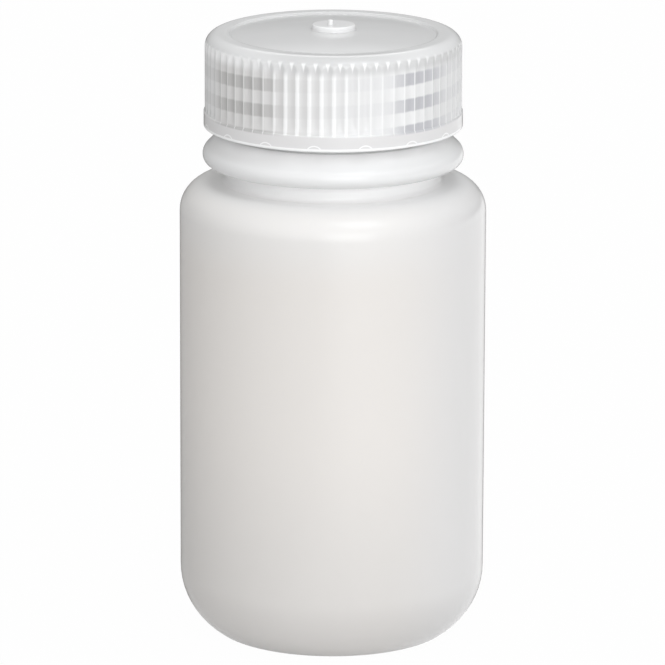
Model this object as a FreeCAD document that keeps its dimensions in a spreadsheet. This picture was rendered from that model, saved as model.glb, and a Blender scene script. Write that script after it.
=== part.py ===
import FreeCAD, Part
import math
import os
import Sketcher

# A wide-mouth laboratory bottle with a screw cap, in millimetres.
# The origin is the centre of the ring that the bottle stands on, and +Z points up.
# The bottle is blow moulded in one piece. The cap is injection moulded in one piece.


# Driving sizes, each written once: name, value, what it measures.
SIZES = [
    ("body_diameter", 50.0, "outside of the round body"),
    ("shoulder_height", 75.55, "standing plane to where the shoulder meets the neck"),
    ("shoulder_radius", 4.95, "round between the wall and the shoulder"),
    ("wall_thickness", 1.2, "wall of the blown body"),
    ("floor_thickness", 1.5, "bottom of the blown body"),
    ("heel_radius", 12.4, "large round between the wall and the base"),
    ("heel_angle", 34.0, "slope between the heel's round and the standing ring, in degrees"),
    ("heel_flat", 0.6, "length of that slope"),
    ("ring_width", 1.7, "flat standing ring, measured across"),
    ("push_up", 1.2, "height of the panel in the middle of the base"),
    ("push_up_run", 1.2, "slope from the ring up to that panel, measured across"),
    ("neck_diameter", 35.1, "outside of the neck between the threads"),
    ("neck_wall", 1.85, "wall of the neck"),
    ("neck_height", 22.4, "shoulder to the sealing lip"),
    ("throat_round", 1.2, "round inside, between the shoulder and the bore"),
    ("lip_round", 0.9, "round on the outer edge of the sealing lip"),
    ("bead_width", 3.7, "how far the bead stands out from the neck"),
    ("bead_thickness", 3.4, "bead, measured upwards"),
    ("bead_lift", 4.45, "shoulder to the middle of the bead"),
    ("bead_round", 1.5, "round on each outer edge of the bead"),
    ("thread_pitch", 4.233, "one turn of the thread, six turns to the inch"),
    ("thread_depth", 1.2, "how far the thread stands out from the neck"),
    ("thread_root", 2.4, "thread at its root inside the neck's wall, measured upwards"),
    ("thread_crest", 1.1, "thread at its outer edge, measured upwards"),
    ("thread_turns", 2.3, "turns of full thread"),
    ("thread_drop", 1.75, "lip to the middle of the highest full thread"),
    ("thread_fade", 20.0, "part of a turn in which each end sinks into the neck, in degrees"),
    ("thread_end", 165.0, "where the thread ends at the top, in degrees from +X"),
    ("thread_clearance", 0.35, "room between the thread and the bore of the cap"),
    ("cap_wall", 1.8, "wall of the cap, out to the tops of its ribs"),
    ("cap_depth", 13.4, "open end of the cap to the face above the lip"),
    ("cap_panel", 1.6, "top panel of the cap at its edge"),
    ("cap_seat", 0.05, "room between the lip and the cap"),
    ("cap_corner", 2.2, "rounded corner at the top of the cap"),
    ("rim_rise", 0.3, "rim above the edge of the top panel"),
    ("rim_width", 0.3, "flat top of the rim"),
    ("rim_slope", 0.3, "slope inside the rim, measured across"),
    ("crown_rise", 0.85, "middle of the top panel above its edge"),
    ("band_height", 2.45, "smooth band at the open end of the cap"),
    ("band_step", 0.18, "band, beyond the tops of the ribs"),
    ("plug_clearance", 0.3, "room between the sealing ring and the bore of the neck"),
    ("plug_wall", 0.9, "sealing ring inside the cap, measured across"),
    ("plug_height", 2.4, "sealing ring inside the cap, measured down"),
    ("rib_count", 66, "ribs round the cap"),
    ("rib_land", 0.34, "top of one rib, measured round"),
    ("rib_depth", 0.35, "how deep the grooves between the ribs are"),
    ("groove_margin", 0.05, "how far a groove is drawn beyond the tops of the ribs"),
    ("notch_count", 16, "arched notches in the open end of the cap"),
    ("notch_width", 2.6, "one notch at the open end"),
    ("notch_height", 0.95, "top of the arch above the open end"),
    ("notch_skin", 0.75, "wall left outside each notch"),
    ("notch_phase", 8.3, "turn of the notches against the ribs, in degrees"),
    ("button_diameter", 7.0, "moulding button in the middle of the cap"),
    ("button_height", 0.85, "button above the top panel"),
    ("nub_diameter", 0.8, "stub that the moulding gate leaves on the button"),
    ("nub_height", 0.95, "stub above the button"),
    ("nub_left", 0.5, "stub to the left of the middle"),
    ("nub_front", 1.2, "stub in front of the middle"),
    ("round_share", 0.95, "largest part of a straight stretch that a round takes up"),
]

# Places worked out from the driving sizes: name, formula.
PLACES = [
    ("body_r", "Sizes.body_diameter / 2"),
    ("neck_r", "Sizes.neck_diameter / 2"),
    ("bore_r", "neck_r - Sizes.neck_wall"),
    ("lip_z", "Sizes.shoulder_height + Sizes.neck_height"),
    ("shoulder_round", "min(Sizes.shoulder_radius; Sizes.round_share * (body_r - neck_r))"),
    # The heel is a large round, then a short slope down to the standing ring.
    ("heel_reach", "Sizes.heel_radius * tan(45 - Sizes.heel_angle / 2)"),
    ("slope_length", "heel_reach + Sizes.heel_flat"),
    ("ring_r", "body_r - slope_length * cos(Sizes.heel_angle)"),
    ("heel_z", "slope_length * sin(Sizes.heel_angle)"),
    ("ring_inner_r", "ring_r - Sizes.ring_width"),
    ("panel_r", "ring_inner_r - Sizes.push_up_run"),
    # The cavity keeps the wall's thickness behind the heel and the shoulder.
    ("wall_r", "body_r - Sizes.wall_thickness"),
    ("inner_heel_z", "heel_z + Sizes.wall_thickness * tan(45 - Sizes.heel_angle / 2)"),
    ("inner_ring_r", "ring_r + (Sizes.floor_thickness"
                     " - Sizes.wall_thickness / cos(Sizes.heel_angle)) / tan(Sizes.heel_angle)"),
    ("inner_panel_z", "Sizes.push_up + Sizes.floor_thickness"),
    ("inner_slope", "(wall_r - inner_ring_r) / cos(Sizes.heel_angle)"),
    ("inner_heel_round", "min(Sizes.heel_radius - Sizes.wall_thickness;"
                         " Sizes.round_share * inner_slope / tan(45 - Sizes.heel_angle / 2))"),
    ("inner_shoulder_round", "max(shoulder_round - Sizes.wall_thickness; shoulder_round / 4)"),
    ("inner_shoulder_z", "Sizes.shoulder_height - Sizes.wall_thickness"),
    # The bead overlaps the neck a little, so that the two fuse.
    ("bead_r", "neck_r + Sizes.bead_width"),
    ("bead_root_r", "neck_r - Sizes.neck_wall / 2"),
    ("bead_z", "Sizes.shoulder_height + Sizes.bead_lift"),
    ("bead_low_z", "bead_z - Sizes.bead_thickness / 2"),
    ("bead_high_z", "bead_z + Sizes.bead_thickness / 2"),
    # The thread starts at the bottom and climbs anticlockwise, seen from above.
    ("crest_r", "neck_r + Sizes.thread_depth"),
    ("thread_low_z", "lip_z - Sizes.thread_drop - Sizes.thread_turns * Sizes.thread_pitch"),
    ("thread_high_z", "lip_z - Sizes.thread_drop"),
    ("thread_start", "Sizes.thread_end - 360 * Sizes.thread_turns"),
    ("thread_root_r", "neck_r - Sizes.neck_wall / 4"),
    ("half_root", "Sizes.thread_root / 2"),
    ("half_crest", "Sizes.thread_crest / 2"),
    ("half_root_below", "-half_root"),
    ("half_crest_below", "-half_crest"),
    # Each end of the thread runs on to a smaller section sunk in the neck's wall.
    ("fade_rise", "Sizes.thread_pitch * Sizes.thread_fade / 360"),
    ("fade_low_z", "thread_low_z - fade_rise"),
    ("fade_high_z", "thread_high_z + fade_rise"),
    ("fade_start", "thread_start - Sizes.thread_fade"),
    ("fade_end", "Sizes.thread_end + Sizes.thread_fade"),
    ("fade_root_r", "neck_r - Sizes.neck_wall / 2"),
    ("fade_crest_r", "neck_r - Sizes.neck_wall / 8"),
    # The cap, measured from its own open end.
    ("cap_bore_r", "crest_r + Sizes.thread_clearance"),
    ("rib_r", "cap_bore_r + Sizes.cap_wall"),
    ("band_r", "rib_r + Sizes.band_step"),
    ("edge_z", "Sizes.cap_depth + Sizes.cap_panel"),
    ("rim_z", "edge_z + Sizes.rim_rise"),
    ("crown_z", "edge_z + Sizes.crown_rise"),
    ("rim_r", "rib_r - Sizes.cap_corner - Sizes.rim_width"),
    ("edge_r", "rim_r - Sizes.rim_slope"),
    ("plug_r", "bore_r - Sizes.plug_clearance"),
    ("plug_inner_r", "plug_r - Sizes.plug_wall"),
    ("plug_z", "Sizes.cap_depth - Sizes.plug_height"),
    ("cap_z", "lip_z + Sizes.cap_seat - Sizes.cap_depth"),
    # A groove is a V between the edges of two rib tops. Its sides run on a little past them.
    ("rib_half_turn", "90 * Sizes.rib_land / (pi * rib_r)"),
    ("groove_turn", "180 / Sizes.rib_count"),
    ("groove_bottom_r", "rib_r - Sizes.rib_depth"),
    ("groove_bottom_x", "groove_bottom_r * sin(groove_turn)"),
    ("groove_bottom_y", "-groove_bottom_r * cos(groove_turn)"),
    ("groove_spread", "1 + Sizes.groove_margin / Sizes.rib_depth"),
    ("near_edge_x", "groove_bottom_x"
                    " + groove_spread * (rib_r * sin(rib_half_turn) - groove_bottom_x)"),
    ("near_edge_y", "groove_bottom_y"
                    " + groove_spread * (-rib_r * cos(rib_half_turn) - groove_bottom_y)"),
    ("far_turn", "2 * groove_turn - rib_half_turn"),
    ("far_edge_x", "groove_bottom_x"
                   " + groove_spread * (rib_r * sin(far_turn) - groove_bottom_x)"),
    ("far_edge_y", "groove_bottom_y"
                   " + groove_spread * (-rib_r * cos(far_turn) - groove_bottom_y)"),
    ("groove_length", "rim_z - Sizes.band_height"),
    # A notch is the part of a round hole that lies above the open end.
    ("notch_round", "Sizes.notch_width * Sizes.notch_width / (8 * Sizes.notch_height)"
                    " + Sizes.notch_height / 2"),
    ("notch_z", "Sizes.notch_height - notch_round"),
    ("notch_reach", "band_r - Sizes.notch_skin"),
    # The button and its stub.
    ("button_r", "Sizes.button_diameter / 2"),
    ("button_top_z", "crown_z + Sizes.button_height"),
    ("button_root_z", "crown_z - Sizes.cap_panel / 2"),
    ("nub_r", "Sizes.nub_diameter / 2"),
    ("nub_x", "-Sizes.nub_left"),
    ("nub_y", "-Sizes.nub_front"),
    ("nub_root_z", "crown_z + Sizes.button_height / 2"),
    ("nub_length", "Sizes.nub_height + Sizes.button_height / 2"),
]

# A feature that changes the volume by less than this, in cubic mm, has done nothing.
SMALLEST_CHANGE = 0.01

doc = FreeCAD.newDocument("wide_mouth_bottle")


def fill_sheet(name, rows, is_formula):
    """Make a sheet with one named value in each row."""
    new_sheet = doc.addObject("Spreadsheet::Sheet", name)
    for row, entry in enumerate(rows, start=1):
        new_sheet.set("A%d" % row, entry[0])
        new_sheet.set("B%d" % row, "=" + entry[1] if is_formula else str(entry[1]))
        new_sheet.setAlias("B%d" % row, entry[0])
        if not is_formula:
            new_sheet.set("C%d" % row, entry[2])
    return new_sheet


sizes = fill_sheet("Sizes", SIZES, False)
doc.recompute()
places = fill_sheet("Places", PLACES, True)
doc.recompute()
PLACE_NAMES = [entry[0] for entry in PLACES]


def path_of(name):
    """The full name of a cell, as a formula writes it."""
    return ("Places." if name in PLACE_NAMES else "Sizes.") + name


def value_of(name):
    """The number in a named cell."""
    return float((places if name in PLACE_NAMES else sizes).get(name))


def origin_feature(body, role):
    """One of the body's own origin planes or axes."""
    return [item for item in body.Origin.OriginFeatures if item.Role == role][0]


def new_body(label):
    body = doc.addObject("PartDesign::Body", label)
    body.Label = label
    return body


def new_sketch(body, name, role, lift=None, turn=None):
    """A sketch on an origin plane of the body, lifted and turned by named values.

    An upright plane is lifted along Z and turned about Z. The flat one is lifted along Z.
    """
    sketch = body.newObject("Sketcher::SketchObject", name)
    sketch.AttachmentSupport = [(origin_feature(body, role), "")]
    sketch.MapMode = "FlatFace"
    if lift is not None:
        upwards = "z" if role == "XY_Plane" else "y"
        sketch.setExpression("AttachmentOffset.Base." + upwards, path_of(lift))
    if turn is not None:
        sketch.AttachmentOffset = FreeCAD.Placement(
            FreeCAD.Vector(), FreeCAD.Rotation(FreeCAD.Vector(0, 1, 0), 1))
        sketch.setExpression("AttachmentOffset.Rotation.Angle", path_of(turn))
    return sketch


def set_value(sketch, name, kind, *where):
    """Hold a length in the sketch at a named value."""
    index = sketch.addConstraint(Sketcher.Constraint(kind, *where, value_of(name)))
    sketch.setExpression("Constraints[%d]" % index, path_of(name))


def pin_point(sketch, geometry, end, across, up):
    """Hold a point at two named distances from the sketch's origin; None is on the axis."""
    for name, kind, axis in ((across, "DistanceX", -2), (up, "DistanceY", -1)):
        if name is None:
            sketch.addConstraint(Sketcher.Constraint("PointOnObject", geometry, end, axis))
        else:
            set_value(sketch, name, kind, -1, 1, geometry, end)


def ordered_ends(sketch, arc, start):
    """The arc's two ends, 1 and 2, with the one at start first."""
    to_first = (sketch.getPoint(arc, 1) - start).Length
    to_second = (sketch.getPoint(arc, 2) - start).Length
    return (1, 2) if to_first < to_second else (2, 1)


def draw_outline(sketch, corners):
    """Draw a closed outline from its corners: across, up, and the round of the corner.

    The round is None for a sharp corner. Otherwise it is the name of its radius and the
    number of equal chords along it, which keeps the number of facets small.
    """
    points = [FreeCAD.Vector(value_of(across) if across else 0, value_of(up) if up else 0, 0)
              for across, up, bend in corners]
    count = len(corners)
    starts = list(points)
    ends = list(points)
    centres = {}

    # A round takes the ends off the two straight edges of its corner.
    for i, (across, up, bend) in enumerate(corners):
        if bend is None:
            continue
        back = (points[i - 1] - points[i]).normalize()
        ahead = (points[(i + 1) % count] - points[i]).normalize()
        half = back.getAngle(ahead) / 2
        radius = value_of(bend[0])
        starts[i] = points[i] + ahead * (radius / math.tan(half))
        ends[i] = points[i] + back * (radius / math.tan(half))
        centres[i] = points[i] + (back + ahead).normalize() * (radius / math.sin(half))

    edges = [sketch.addGeometry(Part.LineSegment(starts[i], ends[(i + 1) % count]), False)
             for i in range(count)]
    for i, (across, up, bend) in enumerate(corners):
        before = edges[i - 1]
        after = edges[i]
        if bend is None:
            sketch.addConstraint(Sketcher.Constraint("Coincident", before, 2, after, 1))
            pin_point(sketch, after, 1, across, up)
            continue
        corner = sketch.addGeometry(Part.Point(points[i]), True)
        pin_point(sketch, corner, 1, across, up)
        sketch.addConstraint(Sketcher.Constraint("PointOnObject", corner, 1, before))
        sketch.addConstraint(Sketcher.Constraint("PointOnObject", corner, 1, after))
        draw_bend(sketch, before, after, ends[i], centres[i], starts[i], *bend)


def draw_bend(sketch, before, after, start, centre, end, radius, chords):
    """Join two edges by equal chords along a construction arc that touches both edges."""
    first_spoke = start - centre
    last_spoke = end - centre
    middle = centre + (first_spoke + last_spoke).normalize() * first_spoke.Length
    arc = sketch.addGeometry(Part.Arc(start, middle, end), True)
    first, last = ordered_ends(sketch, arc, start)
    sketch.addConstraint(Sketcher.Constraint("Tangent", before, 2, arc, first))
    sketch.addConstraint(Sketcher.Constraint("Tangent", arc, last, after, 1))
    set_value(sketch, radius, "Radius", arc)

    turn = first_spoke.getAngle(last_spoke)
    points = []
    for k in range(chords + 1):
        from_first = first_spoke * math.sin(turn * (1 - k / chords))
        from_last = last_spoke * math.sin(turn * k / chords)
        points.append(centre + (from_first + from_last) * (1 / math.sin(turn)))
    lines = [sketch.addGeometry(Part.LineSegment(here, there), False)
             for here, there in zip(points, points[1:])]
    sketch.addConstraint(Sketcher.Constraint("Coincident", before, 2, lines[0], 1))
    sketch.addConstraint(Sketcher.Constraint("Coincident", lines[-1], 2, after, 1))
    for here, there in zip(lines, lines[1:]):
        sketch.addConstraint(Sketcher.Constraint("Coincident", here, 2, there, 1))
        sketch.addConstraint(Sketcher.Constraint("PointOnObject", there, 1, arc))
        sketch.addConstraint(Sketcher.Constraint("Equal", here, there))


def draw_circle(sketch, across, up, radius):
    """A circle at a named place with a named radius."""
    centre = FreeCAD.Vector(value_of(across) if across else 0, value_of(up) if up else 0, 0)
    circle = sketch.addGeometry(
        Part.Circle(centre, FreeCAD.Vector(0, 0, 1), value_of(radius)), False)
    pin_point(sketch, circle, 3, across, up)
    set_value(sketch, radius, "Radius", circle)


def revolve(body, kind, name, corners):
    """Turn an outline about the upright axis, as a Revolution or a Groove."""
    sketch = new_sketch(body, name + "_sketch", "XZ_Plane")
    draw_outline(sketch, corners)
    feature = body.newObject("PartDesign::" + kind, name)
    feature.Profile = sketch
    feature.ReferenceAxis = (sketch, ["V_Axis"])
    feature.Angle = 360
    return feature


def repeat_round(body, feature, name, count):
    """Repeat a feature round the upright axis."""
    pattern = body.newObject("PartDesign::PolarPattern", name)
    pattern.Originals = [feature]
    pattern.Axis = (origin_feature(body, "Z_Axis"), [""])
    pattern.Angle = 360
    pattern.setExpression("Occurrences", path_of(count))
    body.Tip = pattern
    return pattern


def thread_section(body, name, lift, turn, root_r, crest_r):
    """A section of the thread, square to the neck."""
    sketch = new_sketch(body, name, "XZ_Plane", lift, turn)
    draw_outline(sketch, [
        (root_r, "half_root_below", None),
        (crest_r, "half_crest_below", None),
        (crest_r, "half_crest", None),
        (root_r, "half_root", None),
    ])
    return sketch


def fade_thread(body, name, section, lift, turn):
    """Run one end of the thread on until it sinks into the neck."""
    sunk = thread_section(body, name + "_sketch", lift, turn, "fade_root_r", "fade_crest_r")
    loft = body.newObject("PartDesign::AdditiveLoft", name)
    loft.Profile = section
    loft.Sections = [sunk]
    loft.Ruled = True


def make_thread(body):
    """The outside thread of the neck, one start, right-handed, with both ends faded."""
    low = thread_section(
        body, "thread_low", "thread_low_z", "thread_start", "thread_root_r", "crest_r")
    helix = body.newObject("PartDesign::AdditiveHelix", "thread")
    helix.Profile = low
    helix.ReferenceAxis = (low, ["V_Axis"])
    helix.Mode = "pitch-turns-angle"
    helix.setExpression("Pitch", path_of("thread_pitch"))
    helix.setExpression("Turns", path_of("thread_turns"))
    high = thread_section(
        body, "thread_high", "thread_high_z", "thread_end", "thread_root_r", "crest_r")
    fade_thread(body, "thread_fade_high", high, "fade_high_z", "fade_end")
    low_again = thread_section(
        body, "thread_low_again", "thread_low_z", "thread_start", "thread_root_r", "crest_r")
    fade_thread(body, "thread_fade_low", low_again, "fade_low_z", "fade_start")


def make_bottle():
    """The blown bottle: form, neck bead, outside thread, and the hollows inside and below."""
    body = new_body("bottle")
    revolve(body, "Revolution", "outer_form", [
        (None, None, None),
        ("ring_r", None, None),
        ("body_r", "heel_z", ("heel_radius", 6)),
        ("body_r", "shoulder_height", ("shoulder_round", 4)),
        ("neck_r", "shoulder_height", None),
        ("neck_r", "lip_z", ("lip_round", 1)),
        (None, "lip_z", None),
    ])
    revolve(body, "Revolution", "neck_bead", [
        ("bead_root_r", "bead_low_z", None),
        ("bead_r", "bead_low_z", ("bead_round", 2)),
        ("bead_r", "bead_high_z", ("bead_round", 2)),
        ("bead_root_r", "bead_high_z", None),
    ])
    make_thread(body)
    revolve(body, "Groove", "hollow", [
        (None, "inner_panel_z", None),
        ("panel_r", "inner_panel_z", None),
        ("ring_inner_r", "floor_thickness", None),
        ("inner_ring_r", "floor_thickness", None),
        ("wall_r", "inner_heel_z", ("inner_heel_round", 5)),
        ("wall_r", "inner_shoulder_z", ("inner_shoulder_round", 3)),
        ("bore_r", "inner_shoulder_z", ("throat_round", 1)),
        ("bore_r", "lip_z", None),
        (None, "lip_z", None),
    ])
    revolve(body, "Groove", "base_hollow", [
        (None, None, None),
        ("ring_inner_r", None, None),
        ("panel_r", "push_up", None),
        (None, "push_up", None),
    ])
    return body


def cut_grooves(body):
    """Upright grooves that leave fine ribs, closed at the band and open at the rounded top."""
    sketch = new_sketch(body, "groove_sketch", "XY_Plane", "band_height")
    draw_outline(sketch, [
        ("groove_bottom_x", "groove_bottom_y", None),
        ("near_edge_x", "near_edge_y", None),
        ("far_edge_x", "far_edge_y", None),
    ])
    groove = body.newObject("PartDesign::Pocket", "groove")
    groove.Profile = sketch
    groove.Reversed = True
    groove.setExpression("Length", path_of("groove_length"))
    repeat_round(body, groove, "grooves", "rib_count")


def cut_notches(body):
    """Arched notches in the open end, from the bore outwards."""
    sketch = new_sketch(body, "notch_sketch", "XZ_Plane", None, "notch_phase")
    draw_circle(sketch, None, "notch_z", "notch_round")
    notch = body.newObject("PartDesign::Pocket", "notch")
    notch.Profile = sketch
    notch.Reversed = True
    notch.setExpression("Length", path_of("notch_reach"))
    repeat_round(body, notch, "notches", "notch_count")


def make_cap():
    """The moulded cap: form, bore with a sealing ring, grooves, notches and gate button."""
    body = new_body("screw_cap")
    revolve(body, "Revolution", "cap_form", [
        (None, None, None),
        ("band_r", None, None),
        ("band_r", "band_height", None),
        ("rib_r", "band_height", None),
        ("rib_r", "rim_z", ("cap_corner", 3)),
        ("rim_r", "rim_z", None),
        ("edge_r", "edge_z", None),
        ("button_r", "crown_z", None),
        (None, "crown_z", None),
    ])
    revolve(body, "Groove", "cap_bore", [
        (None, None, None),
        ("cap_bore_r", None, None),
        ("cap_bore_r", "cap_depth", None),
        ("plug_r", "cap_depth", None),
        ("plug_r", "plug_z", None),
        ("plug_inner_r", "plug_z", None),
        ("plug_inner_r", "cap_depth", None),
        (None, "cap_depth", None),
    ])
    cut_grooves(body)
    cut_notches(body)
    revolve(body, "Revolution", "gate_button", [
        (None, "button_root_z", None),
        ("button_r", "button_root_z", None),
        ("button_r", "button_top_z", None),
        (None, "button_top_z", None),
    ])
    sketch = new_sketch(body, "nub_sketch", "XY_Plane", "nub_root_z")
    draw_circle(sketch, "nub_x", "nub_y", "nub_r")
    nub = body.newObject("PartDesign::Pad", "gate_nub")
    nub.Profile = sketch
    nub.setExpression("Length", path_of("nub_length"))
    body.setExpression("Placement.Base.z", path_of("cap_z"))
    return body


def check_features(body):
    """Stop if a feature failed, or added or cut nothing."""
    volume = 0
    for feature in body.Group:
        if feature.TypeId == "Sketcher::SketchObject":
            if not feature.FullyConstrained:
                raise RuntimeError(feature.Name + " is not fully constrained")
            continue
        if feature.Shape.isNull() or not feature.Shape.isValid():
            raise RuntimeError(feature.Name + " has no valid shape")
        is_cut = feature.TypeId in ("PartDesign::Groove", "PartDesign::Pocket")
        is_cut = is_cut or feature.Name in ("grooves", "notches")
        change = feature.Shape.Volume - volume
        if (-change if is_cut else change) < SMALLEST_CHANGE:
            raise RuntimeError(feature.Name + " changes nothing, or the wrong way")
        volume = feature.Shape.Volume


bodies = [make_bottle(), make_cap()]
doc.recompute()

for item in doc.Objects:
    if "Invalid" in item.State or "Error" in item.State:
        raise RuntimeError("%s failed: %s" % (item.Name, item.getStatusString()))

os.makedirs("parts", exist_ok=True)
for body in bodies:
    check_features(body)
    if len(body.Shape.Solids) != 1:
        raise RuntimeError(body.Label + " is not one solid")
    body.Shape.exportStep(os.path.join("parts", body.Label + ".step"))
    print(body.Label, round(body.Shape.Volume, 1), "cubic mm")
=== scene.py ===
import bmesh
import bpy
import math
from mathutils import Euler, Matrix, Vector


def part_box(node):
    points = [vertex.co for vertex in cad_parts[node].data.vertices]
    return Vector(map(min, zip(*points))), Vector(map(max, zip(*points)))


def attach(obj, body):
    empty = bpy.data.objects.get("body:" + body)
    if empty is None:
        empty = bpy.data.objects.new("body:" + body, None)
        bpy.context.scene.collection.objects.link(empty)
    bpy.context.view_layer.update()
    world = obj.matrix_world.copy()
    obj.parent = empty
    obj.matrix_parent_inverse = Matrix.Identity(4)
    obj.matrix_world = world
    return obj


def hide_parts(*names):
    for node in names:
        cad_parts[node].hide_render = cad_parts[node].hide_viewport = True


# A wide-mouth laboratory bottle of milky polyethylene with a clearer, finely ribbed screw cap.
# Both are made here as smooth closed shells, turned about the bottle's axis, in metres.

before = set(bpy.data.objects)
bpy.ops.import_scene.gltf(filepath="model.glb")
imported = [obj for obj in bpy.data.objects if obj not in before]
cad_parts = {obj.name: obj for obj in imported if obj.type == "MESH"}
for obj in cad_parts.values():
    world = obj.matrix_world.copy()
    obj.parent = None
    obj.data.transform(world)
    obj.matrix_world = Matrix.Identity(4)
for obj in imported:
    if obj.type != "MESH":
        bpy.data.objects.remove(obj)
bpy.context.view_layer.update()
MM = 0.001
# Two lengths that differ by less are the same.
TINY = 1e-6

# Places read from the frame.
BODY_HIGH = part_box("bottle")[1]
CAP_LOW, CAP_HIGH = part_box("screw_cap")
BODY_R = BODY_HIGH[0]
LIP_Z = BODY_HIGH[2]
BAND_R = CAP_HIGH[0]
CAP_Z = CAP_LOW[2]
NUB_TOP_Z = CAP_HIGH[2]

# Sizes of the bottle.
WALL = 1.2 * MM
SHOULDER_Z = 75.55 * MM
SHOULDER_FALL = 0.22 * MM
SHOULDER_ROUND = 4.95 * MM
HEEL_ROUND = 12.4 * MM
HEEL_SLOPE = math.radians(34)
HEEL_FLAT = 0.6 * MM
TOE_ROUND = 1.2 * MM
RING_WIDTH = 1.7 * MM
PUSH_UP = 1.4 * MM
PUSH_UP_RUN = 5.0 * MM
PUSH_UP_ROUND = 2.5 * MM
RING_ROUND = 0.6 * MM
FLOOR = 1.5 * MM
INNER_HEEL_ROUND = 10.6 * MM
NECK_R = 17.55 * MM
BORE_R = 15.7 * MM
NECK_FOOT_ROUND = 0.8 * MM
THROAT_ROUND = 2.2 * MM
LIP_ROUND = 0.4 * MM
BEAD_R = 21.25 * MM
BEAD_Z = 80.0 * MM
BEAD_HALF = 1.7 * MM
BEAD_LOW_ROUND = BEAD_HALF * 0.93
BEAD_EDGE_Z = 80.7 * MM
BEAD_TOP_ROUND = 1.9 * MM
BEAD_FOOT_ROUND = 0.9 * MM
BEAD_BACK_ROUND = 0.5 * MM

# The thread of the neck and the thread inside the cap share one pitch. THREAD_END is a turn
# from +X, and all other turns are from the front.
PITCH = 4.233 * MM
THREAD_DEPTH = 1.2 * MM
THREAD_CREST = 1.1 * MM
THREAD_ROOT = 2.2 * MM
THREAD_TURNS = 2.3
THREAD_FADE = math.radians(20)
THREAD_RUN_OUT = 0.3
THREAD_END = math.radians(165)
THREAD_TOP_Z = LIP_Z - 1.75 * MM
CAP_THREAD_LOW = 2.6 * MM
CAP_THREAD_TURNS = 2.2
CAP_THREAD_DEPTH = 1.05 * MM
CAP_THREAD_SUNK = 0.3 * MM
CAP_THREAD_HALF_CREST = 0.45 * MM
CAP_THREAD_HALF_ROOT = 1.1 * MM

# Sizes of the cap, measured from its open end.
CAP_BORE_R = 19.1 * MM
RIB_R = BAND_R - 0.18 * MM
BAND_HEIGHT = 2.45 * MM
LEDGE_HEIGHT = 2.63 * MM
CAP_DEPTH = 13.4 * MM
EDGE_HEIGHT = 15.0 * MM
RIM_HEIGHT = 15.3 * MM
CROWN_HEIGHT = 15.85 * MM
CORNER_ROUND = 2.2 * MM
RIM_WIDTH = 1.7 * MM
RIM_SLOPE = 0.3 * MM
RIM_ROUND = 0.2 * MM
EDGE_ROUND = 0.15 * MM
LEDGE_ROUND = 0.12 * MM
OPEN_END_ROUND = 0.2 * MM
INNER_CORNER_ROUND = 0.3 * MM
PLUG_R = 15.4 * MM
PLUG_INNER_R = 14.5 * MM
PLUG_HEIGHT = 11.0 * MM
PLUG_ROUND = 0.27 * MM
PLUG_FOOT_ROUND = 0.2 * MM
BUTTON_R = 3.5 * MM
BUTTON_HEIGHT = 0.85 * MM
BUTTON_ROUND = 0.22 * MM
NUB_R = 0.42 * MM
NUB_TAPER = 0.1
NUB_SUNK = 0.1 * MM
NUB_PLACE = (-0.5 * MM, -1.2 * MM)
RIBS = 66
RIB_SPACING = 2 * math.pi / RIBS
RIB_TURN = math.radians(0.3)
RIB_LAND = 0.34 * MM
RIB_DEPTH = 0.25 * MM
FLUTE_LOW = LEDGE_HEIGHT + 0.06 * MM
FLUTE_HIGH = RIM_HEIGHT - 0.4 * MM
NOTCHES = 16
NOTCH_SPACING = 2 * math.pi / NOTCHES
NOTCH_TURN = math.radians(-8.3)
NOTCH_WIDTH = 2.6 * MM
NOTCH_HEIGHT = 0.95 * MM
NOTCH_REACH = BAND_R - 0.75 * MM

# How finely the shells are divided.
BOTTLE_COLUMNS = 256
COLUMNS_PER_RIB = 9
ARC_STEP = math.radians(6)
FINE_ARC_STEP = math.radians(3.75)
COARSE_ARC_STEP = math.radians(22.5)
WIDEST_ARC_STEP = math.radians(30)
SHORT_CHORD = 0.06 * MM
FINE_STEP = 0.15 * MM
SIDE_STEP = 6.0 * MM
PANEL_ROWS = 9
CAP_THREAD_STEPS_PER_TURN = 120
CAP_THREAD_FADE_STEPS = 8
NUB_COLUMNS = 24
NUB_ARC_STEP = math.radians(20)

# Where the bottle's tones and their painted light and shade change. Each pair is the start and the
# end of a soft change.
BASE_TONE_Z = (2.0 * MM, 9.0 * MM)
LOWER_TONE_Z = (9.0 * MM, 42.0 * MM)
UPPER_TONE_Z = (62.0 * MM, 72.0 * MM)
NECK_TONE_START_Z = (SHOULDER_Z - 1.5 * MM, SHOULDER_Z + 1.0 * MM)
NECK_TONE_Z = (76.0 * MM, 78.4 * MM)
BEAD_TONE_R = (NECK_R + 0.7 * MM, BEAD_R - 0.7 * MM)
RIGHT_TONE_TURN = (0.3, 1.0)
RIGHT_TONE_SHARE = 0.8

# Where the cap's tones and their painted light, shade and highlights change, as such pairs:
# heights, distances from the axis, a depth and turns.
OPEN_EDGE_Z = (CAP_Z + 0.4 * MM, CAP_Z + 0.56 * MM)
BAND_TOP_Z = (CAP_Z + BAND_HEIGHT - 0.1 * MM, CAP_Z + BAND_HEIGHT + 0.2 * MM)
CORNER_Z = (CAP_Z + 11.7 * MM, CAP_Z + 13.2 * MM)
RIM_Z = (CAP_Z + 13.9 * MM, CAP_Z + 14.25 * MM)
PANEL_Z = (CAP_Z + 14.3 * MM, CAP_Z + 14.8 * MM)
BUTTON_FOOT_Z = (CAP_Z + CROWN_HEIGHT, CAP_Z + CROWN_HEIGHT + 0.1 * MM)
OUTSIDE_R = (19.9 * MM, 20.3 * MM)
CORNER_R = (17.0 * MM, 18.0 * MM)
PANEL_R = (16.9 * MM, 17.6 * MM)
BUTTON_EDGE_R = (BUTTON_R + 0.1 * MM, BUTTON_R + 0.3 * MM)
PANEL_FRONT_Y = (-17.0 * MM, -8.0 * MM)
WALL_LEFT_TURN = (math.radians(-72), math.radians(-58))
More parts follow.
